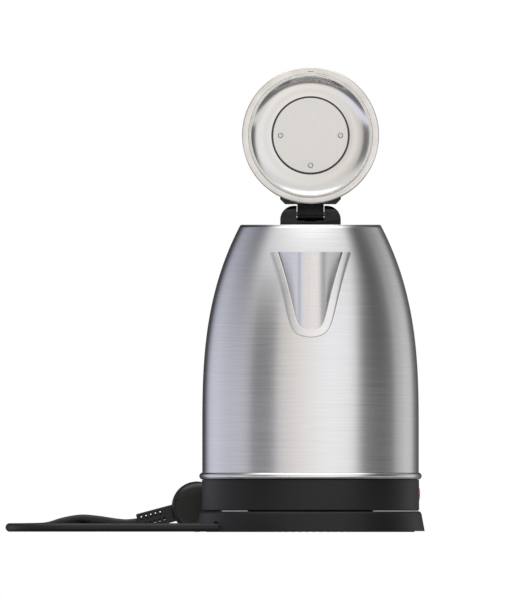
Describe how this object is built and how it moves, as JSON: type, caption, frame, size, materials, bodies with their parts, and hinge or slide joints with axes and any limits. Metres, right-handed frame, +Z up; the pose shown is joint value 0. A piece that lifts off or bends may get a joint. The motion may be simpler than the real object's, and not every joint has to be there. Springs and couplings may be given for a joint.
{
  "type": "electric kettle",
  "caption": "Cordless electric kettle with a tapered steel jug, beak spout, open hinged lid and rear handle on a round power base with its lead and plug.",
  "frame": {"origin": "centre of the power base on the surface it stands on, on the jug's axis", "axes": "+Z up along the jug's axis, the spout points to -Y and the handle to +Y, +X to the side with the pilot lens"},
  "size_m": [0.2936, 0.2344, 0.3256],
  "materials": {
    "brushed_steel": "horizontal brushed stainless steel",
    "polished_steel": "bright rolled stainless steel",
    "satin_steel": "fine satin stainless steel",
    "black_plastic": "fine textured black",
    "dark_plastic": "smooth dark grey",
    "lens_red": "translucent red lens",
    "lamp_glass": "clear neon lamp",
    "black_rubber": "matte black flexible lead sheath",
    "grey_rubber": "non-slip dark grey",
    "white_silicone": "translucent white silicone",
    "brass": "plain contact brass",
    "plated_steel": "nickel plated",
    "aluminium": "rolled aluminium",
    "natural_plastic": "off-white heat resistant plastic",
    "bimetal": "copper coloured bimetal"
  },
  "bodies": {
    "base": {"base_housing": "black_plastic", "base_bottom_cover": "dark_plastic", "non_slip_ring": "grey_rubber", "base_screws": "plated_steel", "base_connector": "dark_plastic", "base_contacts": "brass", "cord_clamp": "dark_plastic", "stored_lead": "black_rubber", "power_cord": "black_rubber", "mains_plug": "black_plastic", "plug_pins": "plated_steel", "plug_earth_clips": "plated_steel"},
    "jug": {"socket_carrier": "dark_plastic", "socket_earth_pin": "brass", "socket_contact_rings": "brass", "body_shell": "brushed_steel", "spout": "brushed_steel", "spout_filter": "satin_steel", "bead_ring": "polished_steel", "collar": "black_plastic", "bottom_cover": "dark_plastic", "bottom_screws": "plated_steel", "heating_plate": "satin_steel", "heat_spreader": "aluminium", "heating_element": "aluminium", "plate_seal": "white_silicone", "control_module": "natural_plastic", "bimetal_discs": "bimetal", "pilot_lens": "lens_red", "pilot_lamp": "lamp_glass", "handle_bracket": "black_plastic", "handle_outer": "black_plastic", "handle_inner": "black_plastic", "handle_screws": "plated_steel", "steam_tube": "natural_plastic", "steam_switch": "natural_plastic", "switch_pivot": "plated_steel", "button_spring": "plated_steel", "hinge_pin": "polished_steel", "hinge_spring": "plated_steel"},
    "lid": {"lid_cover": "brushed_steel", "lid_pan": "polished_steel", "lid_disc": "satin_steel", "lid_rivets": "plated_steel", "lid_seal": "white_silicone", "lid_arm": "black_plastic"},
    "button": {"lid_button": "dark_plastic"},
    "catch": {"lid_catch": "dark_plastic"},
    "switch": {"switch_lever": "dark_plastic"}
  },
  "joints": [
    {"name": "jug_lift", "type": "slide", "parent": "base", "child": "jug", "axis": [0, 0, 1], "range_m": [0, 0.06]},
    {"name": "lid_hinge", "type": "hinge", "parent": "jug", "child": "lid", "pos_m": [0, 0.055, 0.2226], "axis": [1, 0, 0], "range_deg": [0, 90], "stiffness_Nm_per_rad": 0.03, "springref_deg": -40.11},
    {"name": "lid_button_press", "type": "slide", "parent": "jug", "child": "button", "axis": [0, 0, -1], "range_m": [0, 0.003], "stiffness_N_per_m": 400, "springref_m": -0.002, "deforming": ["button_spring"]},
    {"name": "lid_catch_slide", "type": "slide", "parent": "jug", "child": "catch", "axis": [0, 1, 0], "range_m": [0, 0.0015]},
    {"name": "switch_rock", "type": "hinge", "parent": "jug", "child": "switch", "pos_m": [0, 0.0925, 0.058], "axis": [1, 0, 0], "range_deg": [0, 8]}
  ],
  "couplings": [
    {"joint": "lid_catch_slide", "follows": "lid_button_press", "ratio": 0.5}
  ]
}
